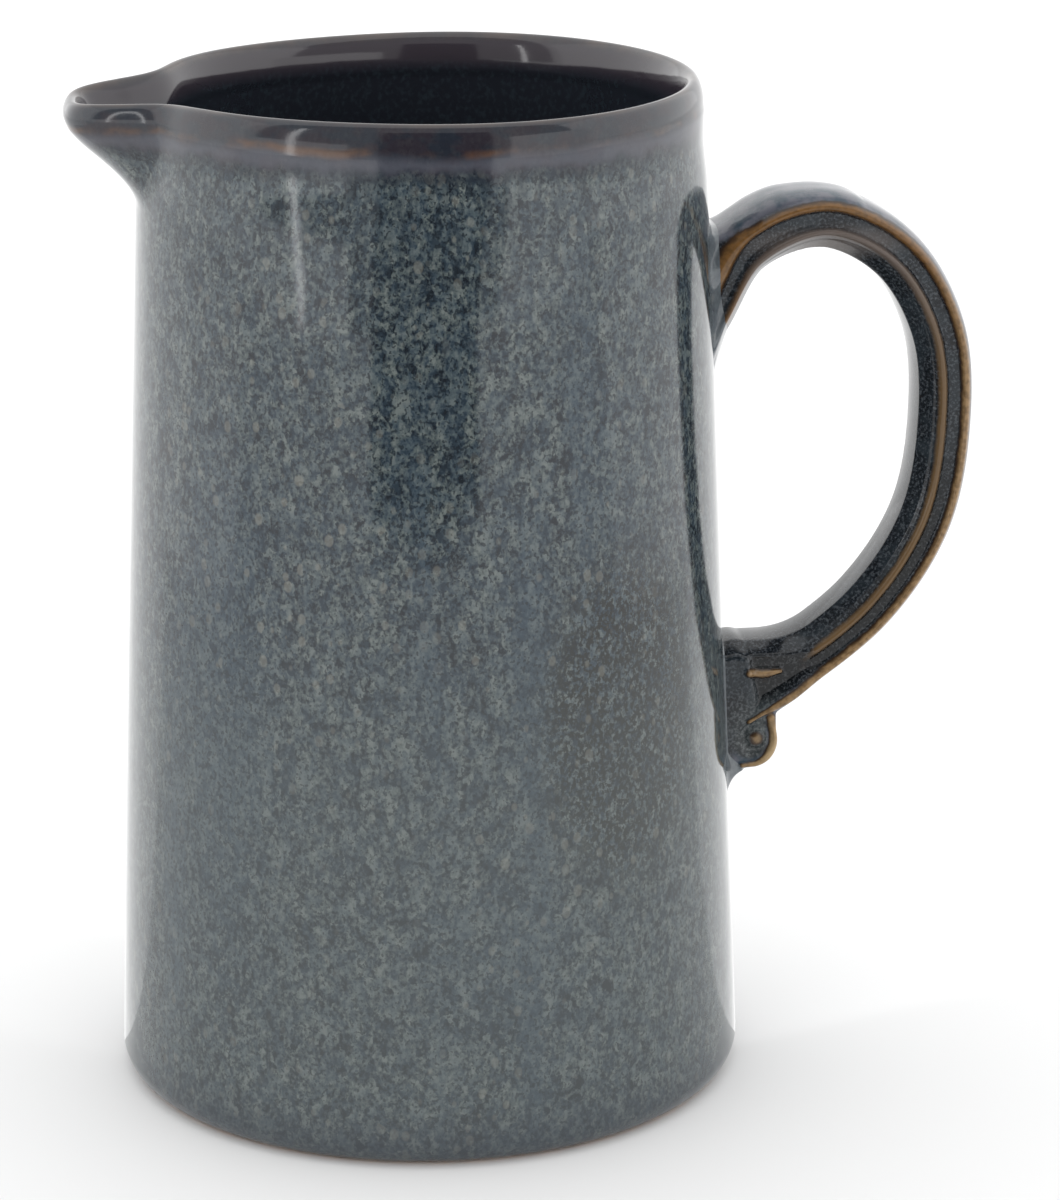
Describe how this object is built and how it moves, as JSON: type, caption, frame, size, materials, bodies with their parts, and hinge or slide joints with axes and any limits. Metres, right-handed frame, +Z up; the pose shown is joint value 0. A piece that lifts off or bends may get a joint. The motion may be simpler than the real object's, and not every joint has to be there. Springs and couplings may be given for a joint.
{
  "type": "pitcher",
  "caption": "Tapered round stoneware serving pitcher with a pulled spout and a reeded loop handle that ends in a small scroll.",
  "frame": {"origin": "centre of the flat resting face, on the axis of the round body", "axes": "+Z up along the body's axis, +X towards the handle, -X towards the spout, the XZ plane is the mirror plane"},
  "size_m": [0.1687, 0.1182, 0.19],
  "materials": {
    "body_glaze": "glossy mottled reactive glaze, grey-blue and grey-green",
    "handle_glaze": "glossy dark grey-blue glaze breaking to tan on the ridges",
    "joint_glaze": "glossy grey-blue glaze over smoothed clay slip"
  },
  "bodies": {
    "root": {"body": "body_glaze", "handle": "handle_glaze", "upper_slip_joint": "joint_glaze", "lower_slip_joint": "joint_glaze"}
  },
  "joints": []
}
